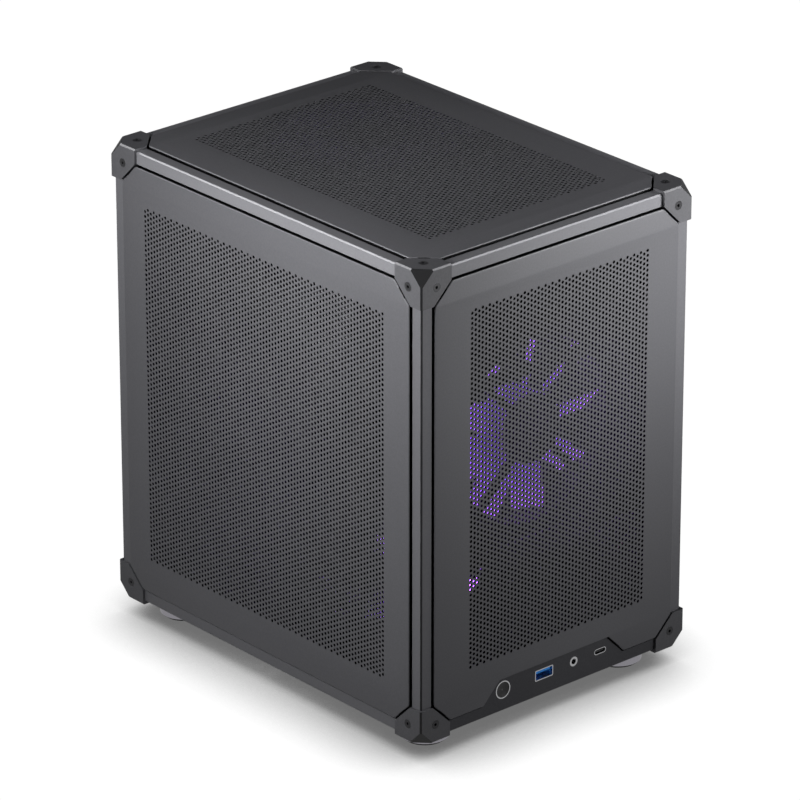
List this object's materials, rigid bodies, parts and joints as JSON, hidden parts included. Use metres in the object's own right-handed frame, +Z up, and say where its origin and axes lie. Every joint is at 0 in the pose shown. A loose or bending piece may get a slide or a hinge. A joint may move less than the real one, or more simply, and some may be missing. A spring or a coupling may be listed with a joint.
{
  "type": "micro atx pc case",
  "caption": "Compact tower computer case with a metal rail cage, corner brackets, perforated pull-off panels, fans and a front port strip.",
  "frame": {"origin": "middle of the footprint, on the floor under the feet", "axes": "X is the width and the shortest side, the front with the ports faces -Y, Z is up and the longest side"},
  "size_m": [0.2074, 0.2734, 0.304],
  "materials": {
    "rail_metal": "dark grey powder coat",
    "bracket_metal": "dark grey powder coat",
    "panel_metal": "dark grey powder coat",
    "inner_sheet": "satin black powder coat",
    "black_screws": "black oxide",
    "foot_metal": "polished",
    "pad_rubber": "matte",
    "port_metal": "bright plated",
    "black_plastic": "satin",
    "blue_plastic": "satin",
    "board_green": "solder mask",
    "standoff_brass": "turned",
    "fan_black": "moulded, fine texture",
    "lit_blades": "milky plastic lit from the hub"
  },
  "bodies": {
    "case": {"front_left_post": "rail_metal", "front_right_post": "rail_metal", "rear_left_post": "rail_metal", "rear_right_post": "rail_metal", "top_left_rail": "rail_metal", "top_right_rail": "rail_metal", "bottom_left_rail": "rail_metal", "bottom_right_rail": "rail_metal", "top_front_rail": "rail_metal", "top_rear_rail": "rail_metal", "bottom_rear_rail": "rail_metal", "front_port_rail": "rail_metal", "bracket_front_left_low": "bracket_metal", "bracket_front_right_low": "bracket_metal", "bracket_rear_left_low": "bracket_metal", "bracket_rear_right_low": "bracket_metal", "bracket_front_left_top": "bracket_metal", "bracket_front_right_top": "bracket_metal", "bracket_rear_left_top": "bracket_metal", "bracket_rear_right_top": "bracket_metal", "corner_screws": "black_screws", "sheet_screws": "black_screws", "fan_screws": "black_screws", "rear_sheet": "inner_sheet", "bottom_sheet": "inner_sheet", "board_tray": "inner_sheet", "slot_cover_1": "inner_sheet", "slot_cover_2": "inner_sheet", "slot_cover_3": "inner_sheet", "slot_cover_4": "inner_sheet", "front_fan_bracket": "inner_sheet", "top_fan_plate": "inner_sheet", "foot_front_left": "foot_metal", "foot_front_right": "foot_metal", "foot_rear_left": "foot_metal", "foot_rear_right": "foot_metal", "foot_pads": "pad_rubber", "power_ring": "port_metal", "usb_a_shell": "port_metal", "headphone_socket": "port_metal", "usb_c_shell": "port_metal", "snap_sockets": "black_plastic", "usb_c_tongue": "black_plastic", "power_switch": "black_plastic", "usb_a_tongue": "blue_plastic", "port_board": "board_green", "board_standoffs": "standoff_brass", "front_fan_frame": "fan_black", "top_fan_frame": "fan_black", "bottom_fan_frame": "fan_black"},
    "left_panel": {"left_panel": "panel_metal"},
    "right_panel": {"right_panel": "panel_metal"},
    "front_panel": {"front_panel": "panel_metal"},
    "top_panel": {"top_panel": "panel_metal"},
    "power_button": {"power_button": "black_plastic"},
    "front_rotor": {"front_fan_rotor": "lit_blades"},
    "top_rotor": {"top_fan_rotor": "lit_blades"},
    "bottom_rotor": {"bottom_fan_rotor": "lit_blades"}
  },
  "joints": [
    {"name": "left_panel_pull", "type": "slide", "parent": "case", "child": "left_panel", "axis": [-1, 0, 0], "range_m": [0, 0.15]},
    {"name": "right_panel_pull", "type": "slide", "parent": "case", "child": "right_panel", "axis": [1, 0, 0], "range_m": [0, 0.15]},
    {"name": "front_panel_pull", "type": "slide", "parent": "case", "child": "front_panel", "axis": [0, -1, 0], "range_m": [0, 0.15]},
    {"name": "top_panel_pull", "type": "slide", "parent": "case", "child": "top_panel", "axis": [0, 0, 1], "range_m": [0, 0.15]},
    {"name": "power_press", "type": "slide", "parent": "case", "child": "power_button", "axis": [0, 1, 0], "range_m": [0, 0.0012], "stiffness_N_per_m": 1200, "springref_m": -0.0005},
    {"name": "front_fan_spin", "type": "hinge", "parent": "case", "child": "front_rotor", "pos_m": [0, -0.1, 0.1733], "axis": [0, 1, 0], "continuous": true},
    {"name": "top_fan_spin", "type": "hinge", "parent": "case", "child": "top_rotor", "pos_m": [0.0115, 0.036, 0.28], "axis": [0, 0, 1], "continuous": true},
    {"name": "bottom_fan_spin", "type": "hinge", "parent": "case", "child": "bottom_rotor", "pos_m": [-0.014, 0.012, 0.03], "axis": [0, 0, 1], "continuous": true}
  ]
}
